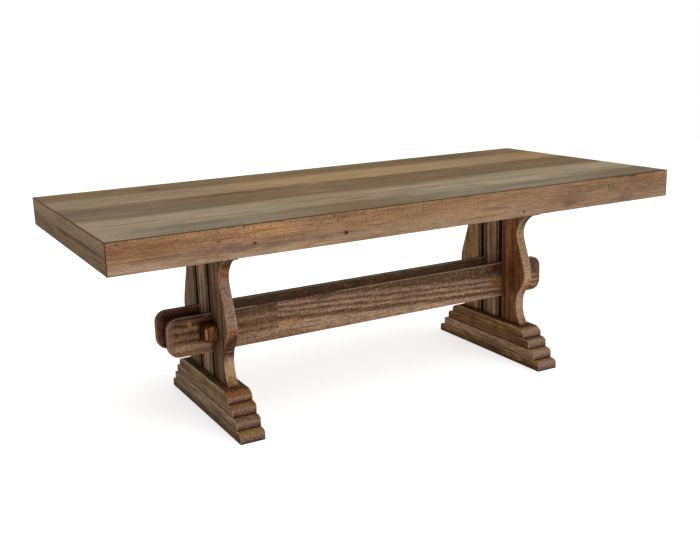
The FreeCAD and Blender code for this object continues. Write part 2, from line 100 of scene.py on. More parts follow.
forward = Vector((math.sin(camera_yaw) * math.cos(camera_pitch),
                  math.cos(camera_yaw) * math.cos(camera_pitch), -math.sin(camera_pitch)))
level_right = Vector((math.cos(camera_yaw), -math.sin(camera_yaw), 0.0))
level_up = level_right.cross(forward)
right = math.cos(camera_roll) * level_right + math.sin(camera_roll) * level_up
up = -math.sin(camera_roll) * level_right + math.cos(camera_roll) * level_up
turn = Matrix((right, up, -forward)).transposed()

camera_data = bpy.data.cameras.new("corner_view")
camera_data.lens = camera_lens
camera_data.sensor_width = 36.0
camera = bpy.data.objects.new("corner_view", camera_data)
camera.matrix_world = Matrix.Translation(camera_place) @ turn.to_4x4()
bpy.context.scene.collection.objects.link(camera)
bpy.context.scene.camera = camera
print("camera", [round(v, 2) for v in camera_place], "lens", camera_lens)

# %% [markdown]
# ## Sums that become nodes
# A shader is a sum, such as `grain * 0.6 + streak * 0.4`, but Blender wants one node for each
# plus and times. A `Strand` wraps one output socket and overloads the operators, so that the
# sum can be written as a sum and the Math nodes add themselves. The reflected forms, such as
# `__rsub__`, make `1 - mask` work too. Colours never go through it, because a Math node turns
# a colour grey.

# %% Strand: one socket in a sum
class Strand:
    """One output socket, used in sums as if it were a number."""

    def __init__(self, nodes, socket):
        self.nodes = nodes
        self.socket = socket

    def worked(self, operation, *values):
        return self.nodes.node("ShaderNodeMath", {"operation": operation}, dict(enumerate(values)))

    def __add__(self, other):
        return self.worked("ADD", self, other)

    def __radd__(self, other):
        return self.worked("ADD", other, self)

    def __sub__(self, other):
        return self.worked("SUBTRACT", self, other)

    def __rsub__(self, other):
        return self.worked("SUBTRACT", other, self)

    def __mul__(self, other):
        return self.worked("MULTIPLY", self, other)

    def __rmul__(self, other):
        return self.worked("MULTIPLY", other, self)

    def __truediv__(self, other):
        return self.worked("DIVIDE", self, other)

    def __abs__(self):
        return self.worked("ABSOLUTE", self)


# %% [markdown]
# ## A finish and its one node method
# Every node that isn't a plain sum comes from one method, `node`: it takes the node's type,
# its settings and the values or links of its sockets. Settings go first, because some of them,
# such as a Math node's operation, change which sockets there are. The other methods are short
# names for the few nodes that a wood finish uses again and again.

# %% Nodes: how any node is added
class Nodes:
    """Adds nodes to one tree, of a material or of the room's light."""

    def __init__(self, tree):
        self.tree = tree

    def node(self, kind, settings=None, sockets=None, output=0):
        """Adds one node: its settings first, then what each socket takes."""
        made = self.tree.nodes.new(kind)
        for key, value in (settings or {}).items():
            if key == "stops":
                self.set_stops(made.color_ramp, value)
            else:
                setattr(made, key, value)
        for key, value in (sockets or {}).items():
            if isinstance(value, Strand):
                self.tree.links.new(value.socket, made.inputs[key])
            else:
                made.inputs[key].default_value = value
        return Strand(self, made.outputs[output])

    def set_stops(self, ramp, stops):
        while len(ramp.elements) < len(stops):
            ramp.elements.new(1.0)
        for element, (position, colour) in zip(ramp.elements, stops):
            element.position = position
            element.color = colour

    def parts(self, vector):
        split = self.node("ShaderNodeSeparateXYZ", None, {0: vector}).socket.node
        return [Strand(self, socket) for socket in split.outputs]

    def rise(self, value, low, high, lowest=0.0, highest=1.0):
        """Goes smoothly from lowest to highest as value goes from low to high."""
        settings = {"interpolation_type": "SMOOTHSTEP"}
        sockets = {"Value": value, "From Min": low, "From Max": high,
                   "To Min": lowest, "To Max": highest}
        return self.node("ShaderNodeMapRange", settings, sockets)


# %% Finish: the nodes of one material
class Finish(Nodes):
    """The nodes of one material, with the place of each point in the wood to start from."""

    def __init__(self, name, shine=0.05):
        self.material = bpy.data.materials.new(name)
        self.material.use_nodes = True
        super().__init__(self.material.node_tree)
        self.surface = self.tree.nodes["Principled BSDF"]
        self.surface.inputs["Specular IOR Level"].default_value = shine
        self.place = self.node("ShaderNodeTexCoord", output="Object")
        self.x, self.y, self.z = self.parts(self.place)
        facing = self.node("ShaderNodeNewGeometry", output="Normal")
        self.facing_x, self.facing_y, self.facing_z = self.parts(facing)

    def scaled(self, vector, factors, shift=(0.0, 0.0, 0.0)):
        """A vector times one factor per axis, plus a shift."""
        sockets = {0: vector, 1: factors, 2: shift}
        return self.node("ShaderNodeVectorMath", {"operation": "MULTIPLY_ADD"}, sockets)

    def noise(self, place, detail=3.0, roughness=0.55, output="Fac"):
        sockets = {"Vector": place, "Scale": 1.0, "Detail": detail, "Roughness": roughness}
        return self.node("ShaderNodeTexNoise", None, sockets, output)

    def near(self, value, middle, reach):
        """1 where a value is at its middle, 0 from the reach outwards."""
        return self.rise(abs(value - middle), reach, 0.0)

    def between(self, value, low, high, blur):
        """1 where a value lies from low to high, with soft ends."""
        return self.rise(value, low - blur, low + blur) * self.rise(value, high + blur, high - blur)

    def smaller(self, first, second):
        return first.worked("MINIMUM", first, second)

    def larger(self, first, second):
        return first.worked("MAXIMUM", first, second)

    def strongest(self, masks):
        """The strongest of several masks at each point."""
        most, *others = masks
        for mask in others:
            most = self.larger(most, mask)
        return most

    def near_any(self, value, middles, reach):
        """1 where a value is at one of several middles, 0 from the reach outwards."""
        return self.strongest([self.near(value, middle, reach) for middle in middles])

    def to_line(self, value, pitch):
        """How far a value is from the nearest whole number of pitches."""
        return value.worked("PINGPONG", value, pitch / 2)

    def ramp(self, value, stops):
        return self.node("ShaderNodeValToRGB", {"stops": stops}, {0: value}, "Color")

    def blend(self, amount, under, over, kind="MIX"):
        """Lays one colour over another, as strongly as amount says."""
        settings = {"data_type": "RGBA", "blend_type": kind, "clamp_result": True}
        return self.node("ShaderNodeMix", settings, {0: amount, 6: under, 7: over}, 2)

    def length(self, vector):
        return self.node("ShaderNodeVectorMath", {"operation": "LENGTH"}, {0: vector}, "Value")

    def patch(self, middle, reach, ragged):
        """1 at a spot in the wood, falling to 0 about its reach along each axis."""
        shrink = [1.0 / size for size in reach]
        shift = [-place / size for place, size in zip(middle, reach)]
        distance = self.length(self.scaled(self.place, shrink, shift))
        return self.rise(distance + ragged, 1.0, 0.2)

    def wear(self, colour, roughness, height, depth):
        """Gives the surface its colour, its roughness and the relief of its grain."""
        bump = self.node("ShaderNodeBump", None, {"Height": height, "Distance": depth}, "Normal")
        for socket, value in (("Base Color", colour), ("Roughness", roughness), ("Normal", bump)):
            self.tree.links.new(value.socket, self.surface.inputs[socket])
        return self.material


print("a finish has", len([m for m in vars(Finish) if not m.startswith("_")]), "methods")

# %% [markdown]
# ## Paint cards
# A colour is easiest to judge as a paint card gives it, 0 to 255 for red, green and blue, but
# light needs linear values. And a card held to a bright side of the table looks lighter than
# the same card on its shaded end. So `paint` takes the colour as it should look and the side it
# is on, and works back to the colour of the stain itself. A side has two numbers: how strongly
# it is lit, read off a grey card held to it, and how much the room's reflection adds to it, read
# off a black card.

# %% Colours as they should look, and the sides they are seen on
plain_side = (1.0, 0.0)
top_side = (1.2, 0.016)
front_side = (1.61, 0.005)
end_side = (0.97, 0.022)
low_front_side = (1.2, 0.004)
low_end_side = (0.67, 0.01)
far_end_side = (0.55, 0.004)
darkest_stain = 0.004


def linear(value):
    """A card's 0 to 255 as linear light, by the curve of a common screen."""
    if value > 10:
        return ((value / 255 + 0.055) / 1.055) ** 2.4
    return value / 255 / 12.92


def paint(red, green, blue, side=plain_side):
    """The linear colour that looks like this card on this side of the table."""
    light, reflection = side
    stain = [max((linear(value) - reflection) / light, darkest_stain) for value in (red, green, blue)]
    return (*stain, 1.0)


def tone_set(side, *cards):
    """Several paint cards held to the same side."""
    return [paint(*card, side) for card in cards]


print("mid grey is", round(paint(128, 128, 128)[0], 3))

# %% [markdown]
# ## Floor
# The table stands on a plain pale floor. It could be a huge plane, but its horizon would cross
# the view behind the table. This floor is a sheet whose finish fades to clear well outside
# the table, so that it runs into the white room with no edge. From below it is clear as well,
# so that the underside can be looked at.

# %% A pale floor that fades out
floor_reach = 9.0
floor_fade_start = 3.0
floor_tone = (0.6, 0.6, 0.597, 1.0)
floor_glow = 1.1

floor_mesh = bpy.data.meshes.new("floor")
floor_corners = [(x * floor_reach, y * floor_reach, 0.0) for x, y in ((-1, -1), (1, -1), (1, 1), (-1, 1))]
floor_mesh.from_pydata(floor_corners, [], [(0, 1, 2, 3)])
floor = bpy.data.objects.new("floor", floor_mesh)
bpy.context.scene.collection.objects.link(floor)

floor_finish = Finish("floor_paint", shine=0.0)
floor_look = {"Base Color": floor_tone, "Roughness": 0.9, "Emission Color": floor_tone,
              "Emission Strength": floor_glow}
for socket, value in floor_look.items():
    floor_finish.surface.inputs[socket].default_value = value
from_below = floor_finish.node("ShaderNodeNewGeometry", output="Backfacing")
far_off = floor_finish.rise(floor_finish.length(floor_finish.place), floor_fade_start, floor_reach)
clear = floor_finish.node("ShaderNodeBsdfTransparent")
painted = Strand(floor_finish, floor_finish.surface.outputs[0])
either = floor_finish.node("ShaderNodeMixShader", None,
                           {0: floor_finish.larger(from_below, far_off), 1: painted, 2: clear})
ending = floor_finish.tree.nodes["Material Output"]
floor_finish.tree.links.new(either.socket, ending.inputs["Surface"])
floor_mesh.materials.append(floor_finish.material)
print("floor fades out from", floor_fade_start, "to", floor_reach, "m")

# %% [markdown]
# ## Light
# Furniture is lit by wide soft sources, because a small lamp leaves hard shadows and burnt
# spots on lacquer. The room is white down to the floor and has a dimmer ceiling, so that the
# light from all round stays low. One wide source in front lights the long side more strongly
# than the end, and one overhead lights the top. Both are suns with a wide angle: an area lamp
# would fade with distance and leave the far floor grey.

# %% A white room and two soft sources
bpy.context.scene.view_settings.view_transform = "Standard"

ceiling_light = 0.3
ceiling_start = 0.08
ceiling_full = 0.26
world = bpy.data.worlds.new("white_room")
world.use_nodes = True
room = Nodes(world.node_tree)
toward = room.parts(room.node("ShaderNodeTexCoord", output="Generated"))
backdrop = room.tree.nodes["Background"]
brightness = room.rise(toward[Z], ceiling_start, ceiling_full, 1.0, ceiling_light)
room.tree.links.new(brightness.socket, backdrop.inputs["Strength"])
backdrop.inputs["Color"].default_value = (1.0, 1.0, 1.0, 1.0)
bpy.context.scene.world = world


def soft_source(name, toward_light, spread, strength):
    light = bpy.data.lights.new(name, "SUN")
    light.angle = math.radians(spread)
    light.energy = strength
    lamp = bpy.data.objects.new(name, light)
    lamp.rotation_euler = Vector(toward_light).to_track_quat("Z", "Y").to_euler()
    bpy.context.scene.collection.objects.link(lamp)


soft_source("front_light", toward_light=(0.25, -1.0, 0.45), spread=70.0, strength=2.2)
soft_source("top_light", toward_light=(0.15, -0.1, 1.0), spread=80.0, strength=2.0)

# %% [markdown]
# ## How wood is written
# All the woods here share five layers, each the same noise, stretched along the grain by its own
# length and width. **Drift** is the slow change of tone along a board, **streaks** are the bands
# of early and late growth, **fibres** are the fine lines that catch the light, **mottle** is the
# blotchiness of the stain, and **grit** is the open grain that a wire brush leaves. They are
# worked out on the **grain place**, the place in the board bent a little sideways, because no
# grain runs dead straight. A Wave texture could give rings, but its bands repeat, and noise
# doesn't.

# %% Wood: the layers that all woods share
def aside(layer, reach):
    """How far a noise layer pulls an edge or a tone aside, either way."""
    return (layer - 0.5) * reach


def steeper(layer, gain):
    """Pulls a noise layer away from its middle, for more contrast."""
    return aside(layer, gain) + 0.5


class Wood(Finish):
    """A wooden finish: its layers, and a colour that other tones are laid over."""

    def __init__(self, name, run, seed, sway=0.01, size=1.0):
        super().__init__(name)
        self.run = run
        self.seed = seed
        self.grain = self.place
        bend = self.banded(0.75 * size, 0.16 * size, 0, 2.0, 0.5, "Color")
        sideways = [0.0 if axis == run else sway for axis in (X, Y, Z)]
        bent = self.scaled(bend, sideways, [-s / 2 for s in sideways])
        self.grain = self.node("ShaderNodeVectorMath", {"operation": "ADD"}, {0: self.place, 1: bent})
        self.drift = self.banded(0.4 * size, 0.034 * size, 1)
        self.streak = self.banded(0.22 * size, 0.0085 * size, 2, 4.0, 0.62)
        self.fibre = self.banded(0.06, 0.003, 3, 2.0)
        self.mottle = self.banded(0.05 * size, 0.024 * size, 4, 4.0, 0.62)
        self.grit = self.banded(0.008, 0.0042, 5, 2.0, 0.6)

    def banded(self, length, width, layer, detail=3.0, roughness=0.55, output="Fac"):
        """Noise in cells of this length along the grain and width across it."""
        factors = [1.0 / length if axis == self.run else 1.0 / width for axis in (X, Y, Z)]
        number = 10.0 * self.seed + layer
        shift = (number * 0.79, number * 1.7, number * 0.43)
        return self.noise(self.scaled(self.grain, factors, shift), detail, roughness, output)

    def stained(self, tones, gain=2.2):
        """The body of the wood: deep, body, pale and warm tones mixed by its layers."""
        deep, body, pale, warm = tones
        tone = self.drift * 0.35 + self.streak * 0.4 + self.fibre * 0.1 + self.mottle * 0.15
        self.colour = self.ramp(steeper(tone, gain), [(0.08, deep), (0.5, body), (0.92, pale)])
        self.lay(self.rise(self.mottle, 0.5, 0.7) * 0.45, warm)

    def lay(self, amount, colour, kind="MIX"):
        """Lays a tone over what is there, as strongly as amount says."""
        self.colour = self.blend(amount, self.colour, colour, kind)

    def lines(self, value, amount, gain=2.4):
        """Darker and paler marks where a layer is low and high."""
        marks = self.ramp(steeper(value, gain), [(0.15, mark_dark), (0.85, mark_pale)])
        self.lay(amount, marks, "OVERLAY")

    def spots(self, spots):
        """Single spots, of stain or of painted shade: middle, reach, strength and tone of each."""
        ragged = aside(self.mottle, 1.2) + aside(self.streak, 0.8)
        for middle, reach, strength, tone in spots:
            self.lay(self.patch(middle, reach, ragged) * strength, tone)

    def done(self, fibres, grits, depth, roughness=0.72):
        """Adds the fine marks and gives the surface its roughness and relief."""
        self.lines(self.fibre, fibres)
        self.lines(self.grit, grits)
        height = self.fibre * 0.3 + self.streak * 0.3 + self.grit * 0.4
        return self.wear(self.colour, roughness + aside(self.mottle, 0.2), height, depth)


mark_dark = paint(52, 42, 34)
mark_pale = paint(240, 233, 222)
print("marks from", round(mark_dark[0], 3), "to", round(mark_pale[0], 3))

# %% [markdown]
# ## The top
# The five planks are weathered wood under satin lacquer. Each has its own tones along its
# length, and they run into each other without a groove. One ramp across the whole top would
# give the change from plank to plank, but not the change along each. So each plank has a ramp
# along its length, and a seam mask that wanders with the grain leads from one to the next.
# Before its first stop and after its last one a ramp holds its tone.

# %% The stains of the top
oak, bark, moss, umber, rust = tone_set(
    top_side, (130, 111, 84), (114, 94, 69), (123, 106, 82), (128, 110, 85), (124, 109, 92))
sand, drab, honey, rose_sand, apricot = tone_set(
    top_side, (152, 134, 110), (150, 133, 109), (164, 140, 106), (156, 132, 104), (161, 132, 100))
slate, sage, lichen = tone_set(top_side, (118, 110, 97), (156, 143, 121), (136, 128, 111))
plank_tones = [
    [(0.0, sage), (0.08, lichen), (0.22, lichen), (0.38, umber), (0.6, lichen), (0.76, lichen),
     (0.92, rust)],
    [(0.26, sage), (0.42, sand), (0.55, sage)],
    [(0.14, rust), (0.26, moss), (0.4, umber), (0.52, moss)],
    [(0.2, drab), (0.34, rose_sand), (0.46, honey), (0.66, honey), (0.84, sand), (0.97, apricot)],
    [(0.24, umber), (0.36, oak), (0.6, oak), (0.8, bark), (1.0, oak)]]
seam_shifts = [-0.012, -0.028, 0.002, -0.022]
print(len(plank_tones), "planks, front to rear")

# %% [markdown]
# The masks are worked out on the grain place, so a streak can pull a seam a few centimetres
# aside. Streaks, a slow mottle, long bands and a few stains go over the tones, and a thin dark
# line runs round the arris. The slate spot on the right of the front plank is partly its
# stain and partly a painted reflection of the room's sheen.

# %% The finish of the top planks
seam_blur = 0.026
edge_line = 0.0036
edge_solid = 0.0014
dark_edge_tone, seam_stain, knot_stain = tone_set(top_side, (62, 43, 29), (92, 77, 54), (80, 60, 42))


def on_top(x, y, reach_x, reach_y, strength, tone):
    return ((x, y, top_height), (reach_x, reach_y, 0.05), strength, tone)


top_spots = [
    on_top(-0.665, 0.37, 0.045, 0.028, 0.7, knot_stain),
    on_top(0.7, 0.375, 0.06, 0.02, 0.8, knot_stain),
    on_top(0.75, 0.36, 0.5, 0.06, 0.5, umber),
    on_top(0.1, 0.15, 0.5, 0.014, 0.6, apricot),
    on_top(0.25, 0.095, 0.45, 0.012, 0.7, seam_stain),
    on_top(-0.46, 0.08, 0.34, 0.026, 0.8, seam_stain),
    on_top(-0.2, -0.065, 0.09, 0.035, 0.5, apricot),
    on_top(-1.0, 0.03, 0.09, 0.035, 0.7, slate),
    on_top(0.2, -0.135, 0.4, 0.04, 0.5, moss),
    on_top(-0.17, -0.285, 0.05, 0.018, 0.5, knot_stain),
    on_top(0.27, -0.315, 0.1, 0.022, 0.6, slate),
    on_top(0.62, -0.25, 0.2, 0.045, 0.5, sage),
    on_top(-0.94, -0.07, 0.2, 0.045, 0.6, lichen),
    on_top(-0.82, -0.39, 0.24, 0.055, 0.4, slate),
    # The slate spot on the right of the front plank is partly its stain and partly a painted reflection of
    # the room's sheen.
    on_top(0.46, -0.41, 0.34, 0.045, 0.6, slate),
    on_top(0.95, -0.42, 0.2, 0.08, 0.7, rust)]


def top_finish():
    wood = Wood("top_planks", X, 0.1, sway=0.03, size=1.7)
    along = wood.x / (2 * half_length) + 0.5 + aside(wood.mottle, 0.14) + aside(wood.drift, 0.1)
    across = wood.y + aside(wood.drift, 0.09) + aside(wood.streak, 0.05) + aside(wood.mottle, 0.03)
    wood.colour = wood.ramp(along, plank_tones[0])
    for seam, shift, tones in zip(plank_seams, seam_shifts, plank_tones[1:]):
        seam_place = seam + shift
        past_seam = wood.rise(across, seam_place - seam_blur, seam_place + seam_blur)
        wood.lay(past_seam, wood.ramp(along, tones))

    wood.lay(wood.rise(wood.streak, 0.52, 0.7) * wood.rise(wood.drift, 0.6, 0.4) * 0.4, bark)
    wood.lay(wood.rise(wood.streak, 0.46, 0.28) * wood.rise(wood.mottle, 0.42, 0.6) * 0.3, sage)
    wood.lay(wood.rise(wood.mottle, 0.56, 0.72) * wood.rise(wood.drift, 0.45, 0.6) * 0.25, rose_sand)
    wood.lay(wood.rise(wood.mottle, 0.42, 0.28) * wood.rise(wood.streak, 0.4, 0.6) * 0.22, slate)
    wood.spots(top_spots)
    wood.lines(wood.streak, 0.2)
    wood.lines(wood.mottle, 0.1)
    wood.lines(wood.banded(0.42, 0.024, 7), 0.16)

    to_edge = wood.smaller(half_length - abs(wood.x), half_width - abs(wood.y))
    wood.lay(wood.rise(to_edge, edge_line, edge_solid) * 0.9, dark_edge_tone)
    return wood.done(fibres=0.16, grits=0.14, depth=0.0006, roughness=0.7)


top_planks = top_finish()
print("top planks have", len(top_spots), "single stains")

# %% [markdown]
# ## The aprons
# The aprons are the four boards that hang below the edge of the top. The long ones are warm
# and reddish, paler and pinker along their lower edge, and the short ones more olive. All have
# small marks of the saw, towards the left end of a long one and the front end of a short one,
# and the two that show have knots and stains. Those could come from a cell texture, but on a
# board this long one sees a handful, each in its own place, so they are placed one by one: the
# wide ones under the streaks, the small ones over them.

# %% The finish of the aprons
apron_height = top_height - apron_low
wide_reach = 0.08


def apron_finish(name, run, seed, tones, streaks, spots):
    """tones: lower, middle and upper tone, the dark streak, the warm stain and the edge line."""
    wood = Wood(name + "_wood", run, seed, sway=0.014)
    lower, middle, upper, dark_tone, warm_tone, edge_tone = tones
    half_run = half_length if run == X else half_width
    length_place = wood.x if run == X else wood.y
    height = (wood.z - apron_low) / apron_height
    wood.colour = wood.ramp(height + aside(wood.drift, 0.8) + aside(wood.mottle, 0.4),
                            [(0.12, lower), (0.45, middle), (0.8, upper)])
    wood.spots([spot for spot in spots if max(spot[1]) > wide_reach])
    wood.lay(wood.rise(wood.mottle, 0.52, 0.68) * wood.rise(wood.drift, 0.35, 0.6) * 0.5, warm_tone)
    wood.lay(wood.rise(wood.streak, 0.52, 0.68) * streaks, dark_tone)
    wood.lay(wood.rise(wood.streak, 0.42, 0.28) * 0.45, lower)
    saw = wood.banded(0.008, 0.0052, 6, 2.0)
    rough = wood.rise(height + aside(wood.mottle, 0.8), 0.35, 0.75)
    leftwards = wood.rise(length_place / half_run, 0.6, -0.3)
    wood.lay(wood.rise(saw, 0.52, 0.66) * rough * leftwards * 0.75, dark_tone)
    wood.spots([spot for spot in spots if max(spot[1]) <= wide_reach])

    to_edge = wood.smaller(top_height - wood.z, half_run - abs(length_place))
    wood.lay(wood.rise(to_edge, edge_line, edge_solid) * 0.9, edge_tone)
    return wood.done(fibres=0.22, grits=0.18, depth=0.0008)


apron_tan = tone_set(front_side, (155, 129, 105), (152, 122, 96), (151, 118, 88), (106, 76, 56),
                     (162, 124, 84), (58, 38, 26))
knot, smudge, dusk, brick, walnut = tone_set(
    front_side, (70, 44, 32), (114, 93, 88), (121, 95, 83), (134, 97, 67), (114, 88, 72))
honey_tan, pale_rose, pale_tan, rose_tan = tone_set(
    front_side, (176, 136, 95), (170, 145, 122), (164, 132, 104), (142, 113, 95))


def on_front(x, z, reach_x, reach_z, strength, tone):
    return ((x, -half_width, z), (reach_x, 0.05, reach_z), strength, tone)


front_spots = [
    on_front(-0.97, 0.735, 0.3, 0.026, 0.75, brick),
    on_front(-0.97, 0.712, 0.2, 0.012, 0.7, brick),
    on_front(-0.6, 0.738, 0.19, 0.034, 1.0, honey_tan),
    on_front(-0.82, 0.748, 0.13, 0.008, 0.5, honey_tan),
    on_front(-0.62, 0.693, 0.34, 0.014, 0.9, dusk),
    on_front(-0.74, 0.702, 0.12, 0.014, 0.75, dusk),
    on_front(-1.0, 0.674, 0.18, 0.014, 0.9, pale_rose),
    on_front(-0.6, 0.671, 0.24, 0.011, 0.85, pale_rose),
    on_front(-0.34, 0.75, 0.16, 0.01, 0.6, walnut),
    on_front(-0.3, 0.728, 0.13, 0.01, 0.6, pale_tan),
    on_front(0.1, 0.75, 0.25, 0.006, 0.5, brick),
    on_front(0.66, 0.71, 0.6, 0.08, 0.4, rose_tan),
    on_front(0.23, 0.7, 0.26, 0.045, 0.7, pale_tan),
    on_front(0.6, 0.705, 0.12, 0.05, 0.45, walnut),
    on_front(0.72, 0.735, 0.15, 0.03, 0.45, walnut),
    on_front(0.86, 0.677, 0.1, 0.014, 0.7, walnut),
    on_front(0.93, 0.72, 0.22, 0.05, 0.6, walnut),
    on_front(0.88, 0.757, 0.12, 0.004, 0.7, knot),
    on_front(0.6, 0.687, 0.06, 0.014, 0.9, smudge),
    on_front(-0.97, 0.698, 0.16, 0.005, 0.8, walnut),
    on_front(-0.55, 0.709, 0.1, 0.0045, 0.8, walnut),
    on_front(-0.325, 0.697, 0.08, 0.005, 0.8, walnut),
    on_front(-0.632, 0.703, 0.011, 0.008, 0.9, knot),
    on_front(-0.32, 0.696, 0.011, 0.009, 0.95, knot),
    on_front(-0.47, 0.7, 0.014, 0.03, 0.4, dusk),
    on_front(-0.745, 0.722, 0.01, 0.004, 0.7, knot),
    on_front(-1.045, 0.751, 0.006, 0.0045, 0.75, knot),
    on_front(-1.073, 0.748, 0.0045, 0.004, 0.75, knot),
    on_front(0.388, 0.679, 0.006, 0.006, 0.9, knot),
    on_front(0.782, 0.732, 0.007, 0.006, 0.85, knot),
    on_front(-0.03, 0.738, 0.004, 0.01, 0.5, knot)]

apron_olive = tone_set(end_side, (104, 88, 69), (110, 94, 73), (130, 112, 90), (70, 52, 37), (122, 95, 71),
                       (60, 42, 28))
umber_line, russet, fern, ash_olive = tone_set(
    end_side, (76, 56, 34), (122, 88, 64), (88, 84, 52), (128, 112, 88))


def on_end(y, z, reach_y, reach_z, strength, tone):
    return ((-half_length, y, z), (0.05, reach_y, reach_z), strength, tone)


end_spots = [
    on_end(-0.27, 0.713, 0.3, 0.007, 0.9, umber_line),
    on_end(0.0, 0.71, 0.22, 0.009, 0.9, umber_line),
    on_end(0.3, 0.7, 0.14, 0.005, 0.5, umber_line),
    on_end(0.25, 0.738, 0.28, 0.016, 0.6, ash_olive),
    on_end(-0.38, 0.738, 0.14, 0.016, 0.5, ash_olive),
    on_end(0.36, 0.684, 0.09, 0.012, 0.5, russet),
    on_end(-0.18, 0.692, 0.1, 0.012, 0.45, russet),
    on_end(0.17, 0.675, 0.08, 0.008, 0.55, fern),
    on_end(-0.42, 0.68, 0.08, 0.012, 0.4, fern),
    on_end(-0.478, 0.7, 0.018, 0.06, 0.55, russet)]
aprons = [("apron_front", X, 3.0, apron_tan, 0.5, front_spots),
          ("apron_rear", X, 8.0, apron_tan, 0.5, []),
          ("apron_left", Y, 5.0, apron_olive, 0.55, end_spots),
          ("apron_right", Y, 9.0, apron_olive, 0.55, [])]
apron_finishes = {apron[0]: apron_finish(*apron) for apron in aprons}
print("aprons", round(apron_height, 3), "m deep,", len(front_spots) + len(end_spots), "single stains")

# %% [markdown]
# ## The trestle timbers
# The posts, feet, stretchers and pegs are stained a darker brown, and each kind of piece gets
# what its shape does to its look: painted shade in a groove, a slot, a hole or a corner, and pale
# arrises that are partly rubbed wood and partly a painted highlight. The right trestle's flat
# faces get less light than the left one's, so each trestle has a side of its own.

# %% Painted shade, and rubbed wood with painted highlight
trestle_sides = {"left": low_end_side, "right": far_end_side}
# The first three tones are painted shade, for grooves, joints, holes and corners, and the near black of the
# slots.
glaze, warm_glaze, slot_shade = tone_set(low_end_side, (32, 17, 9), (52, 33, 21), (44, 22, 12))
# The first tone, pale rubbed wood, serves scratches and arrises; on the arrises it is partly a painted
# highlight.
rubbed_and_highlight, rose_grey, cream, ochre, olive_ochre = tone_set(
    low_front_side, (160, 137, 116), (144, 120, 106), (160, 132, 105), (134, 103, 62), (122, 100, 60))
# The last tone is brown painted shade: for the foot, waist and head of a post's edge, the corners of the
# feet, and the rim and sides of a peg.
rose_brown, amber, deep_amber, shade_brown = tone_set(
    low_front_side, (110, 85, 70), (128, 86, 50), (90, 56, 30), (66, 42, 26))
print("glaze", [round(v, 3) for v in glaze[:3]])

# %% [markdown]
# ## The posts
# A post's flat faces are brown, with dark and pale veins. Its curved outer edge is worn pale
# and finely scratched across, and its arrises are pale, partly as wear and partly as a painted
# highlight. Its tone changes with the height: painted shade where it meets the foot, cream or
# rose grey above it, dark with painted shade at the left waist and amber at the right one, pale
# on the swell, amber or olive near the head, and painted shade under the head. Two grooves run
# along each wall of a slot, dark with painted shade, with beads beside them that are paler,
# partly as wear and partly as a painted highlight, and the slot itself is painted nearly black
# as shade. Painted shade also darkens the flat faces near the foot and under the apron. Where
# the surface points tells the faces apart.

# %% The finish of the posts
groove_spacing = 0.0085
groove_reach = 0.0042
edge_start = 0.02
edge_full = 0.04
foot_corner = 0.012
head_corner = 0.1
post_cards = {
    "front_post_left": [(46, 32, 22), (78, 58, 41), (108, 90, 72), (90, 56, 34)],
    "centre_post_left": [(68, 50, 38), (110, 90, 70), (144, 126, 106), (118, 92, 68)],
    "rear_post_left": [(48, 37, 26), (80, 65, 48), (110, 95, 76), (92, 72, 48)],
    "front_post_right": [(54, 30, 15), (88, 60, 36), (114, 86, 58), (104, 66, 32)],
    "centre_post_right": [(56, 40, 29), (92, 71, 53), (130, 110, 90), (92, 68, 48)],
    "rear_post_right": [(66, 44, 26), (100, 76, 49), (132, 108, 76), (112, 82, 44)]}
# The dark brown stops of the edge tones, where the edge meets the foot, at the left waist and under the
# head, are painted shade.
edge_tones = {
    "left": [(0.0, shade_brown), (0.03, ochre), (0.1, cream), (0.17, cream), (0.24, shade_brown),
             (0.37, shade_brown), (0.41, deep_amber), (0.46, amber), (0.5, rose_grey),
             (0.78, rose_grey), (0.82, amber), (0.88, amber), (0.91, shade_brown)],
    "right": [(0.0, shade_brown), (0.03, ochre), (0.1, rose_grey), (0.24, rose_grey), (0.29, amber),
              (0.37, amber), (0.42, cream), (0.8, cream), (0.87, olive_ochre), (0.93, shade_brown)]}
peg_middle = [centre("peg_left", axis) for axis in (X, Y, Z)]
# A painted shadow of the peg on the posts beside it.
shadow_offset = 0.023
peg_shadow = ((peg_middle[X] + shadow_offset, -0.1, peg_middle[Z]), (0.03, 0.055, 0.055), 0.85, glaze)
dark_heart, dark_foot = tone_set(far_end_side, (56, 27, 9), (62, 36, 18))
right_face = span("front_post_right", X)[0]
post_spots = {
    "front_post_left": [peg_shadow],
    "centre_post_left": [peg_shadow],
    "front_post_right": [((right_face, -0.145, 0.35), (0.02, 0.075, 0.14), 0.75, dark_heart),
                         ((right_face, -0.13, 0.19), (0.02, 0.07, 0.07), 0.6, dark_foot)]}


def beside_slot(*steps):
    """Places along both walls of a slot, so many groove spacings away from it."""
    reaches = [step * groove_spacing for step in steps]
    return [slot_outer + reach for reach in reaches] + [slot_inner - reach for reach in reaches]


